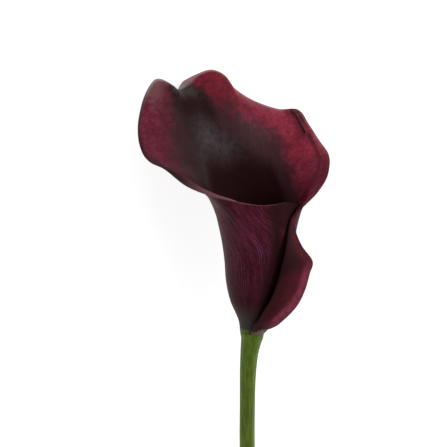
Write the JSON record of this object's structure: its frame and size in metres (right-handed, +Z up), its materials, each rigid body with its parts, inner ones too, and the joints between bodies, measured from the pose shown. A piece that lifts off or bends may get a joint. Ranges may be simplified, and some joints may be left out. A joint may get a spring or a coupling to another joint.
{
  "type": "calla lily flower",
  "caption": "Cut calla lily flower lying down: one leaf rolled into a flared funnel round a finger-like spadix, on a slender stem.",
  "frame": {"origin": "on the table, under the middle of the whole flower's box", "axes": "+Z up from the table, +Y along the flower from the stem's cut end to the mouth, +X across it to the side where the outer wrap folds out"},
  "size_m": [0.0776, 0.2334, 0.0455],
  "materials": {
    "spathe": "waxy dark burgundy leaf with fine lengthwise veins",
    "spadix": "dull ochre-brown, covered with small florets",
    "stem": "smooth green skin with fine lengthwise lines"
  },
  "bodies": {
    "root": {"spathe": "spathe", "spadix": "spadix", "stem": "stem"}
  },
  "joints": []
}
